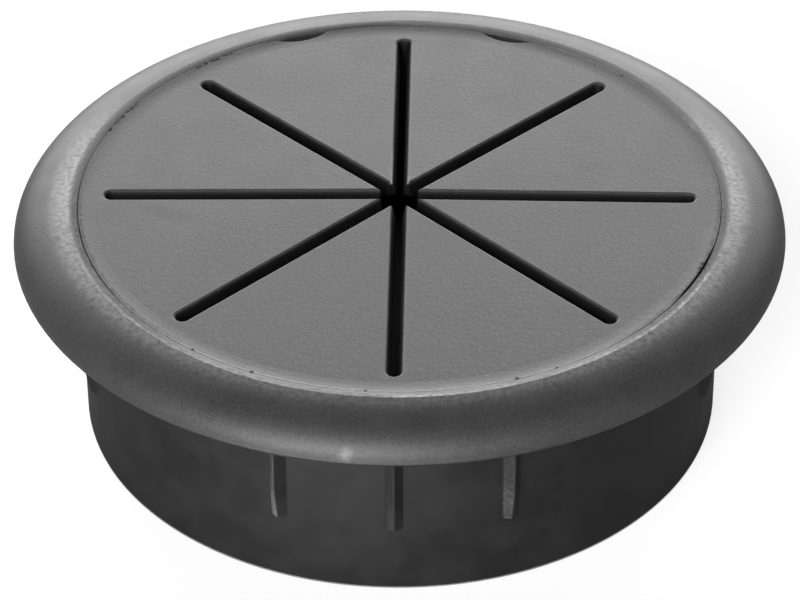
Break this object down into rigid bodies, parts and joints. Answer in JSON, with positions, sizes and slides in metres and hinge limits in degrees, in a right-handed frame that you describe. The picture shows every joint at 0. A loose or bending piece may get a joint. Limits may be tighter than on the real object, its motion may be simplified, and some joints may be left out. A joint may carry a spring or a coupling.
{
  "type": "cable grommet",
  "caption": "Round desk cable grommet: rounded flange on a ribbed barrel, closed by a flat cap cut by radial slits into flexible leaves.",
  "frame": {"origin": "centre of the barrel's foot, on the grommet's axis", "axes": "+Z along the axis, from the barrel's foot up to the cap; -Y towards the front of the picture, along a slit and the middle rib of a group"},
  "size_m": [0.07, 0.07, 0.0217],
  "materials": {
    "sleeve_plastic": "black, finely textured on the flange and plain on the barrel",
    "cap_plastic": "black, finely textured"
  },
  "bodies": {
    "root": {"flanged_sleeve": "sleeve_plastic", "slit_cap": "cap_plastic"}
  },
  "joints": []
}
